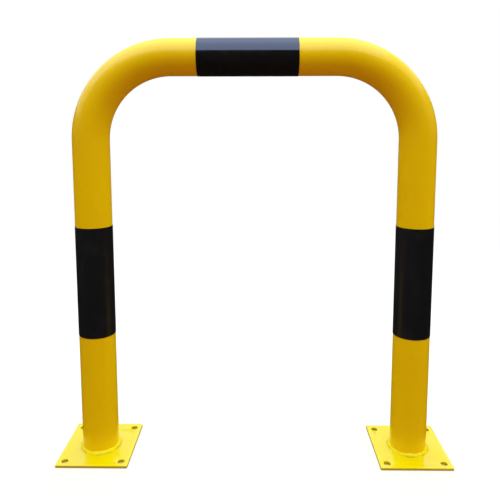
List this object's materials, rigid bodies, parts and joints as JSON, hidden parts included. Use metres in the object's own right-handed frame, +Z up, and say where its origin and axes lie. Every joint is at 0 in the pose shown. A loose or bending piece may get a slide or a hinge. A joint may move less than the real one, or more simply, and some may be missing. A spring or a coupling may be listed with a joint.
{
  "type": "steel hoop barrier",
  "caption": "Round-tube hoop barrier welded to bolt-down base plates, coated yellow with black film bands, for guarding machines, racks and doorways.",
  "frame": {"origin": "on the floor midway between the base plates, below the middle of the hoop", "axes": "+X along the hoop from the left leg to the right leg as seen from the front, +Y through the hoop away from the viewer, +Z up"},
  "size_m": [0.8238, 0.16, 0.8807],
  "materials": {
    "yellow_coat": "glossy yellow powder coat on steel, slightly uneven like fine orange peel",
    "black_film": "smooth glossy black self-adhesive film"
  },
  "bodies": {
    "root": {"hoop_tube": "yellow_coat", "base_plate_left": "yellow_coat", "base_plate_right": "yellow_coat", "weld_bead_left": "yellow_coat", "weld_bead_right": "yellow_coat", "band_top": "black_film", "band_left": "black_film", "band_right": "black_film"}
  },
  "joints": []
}
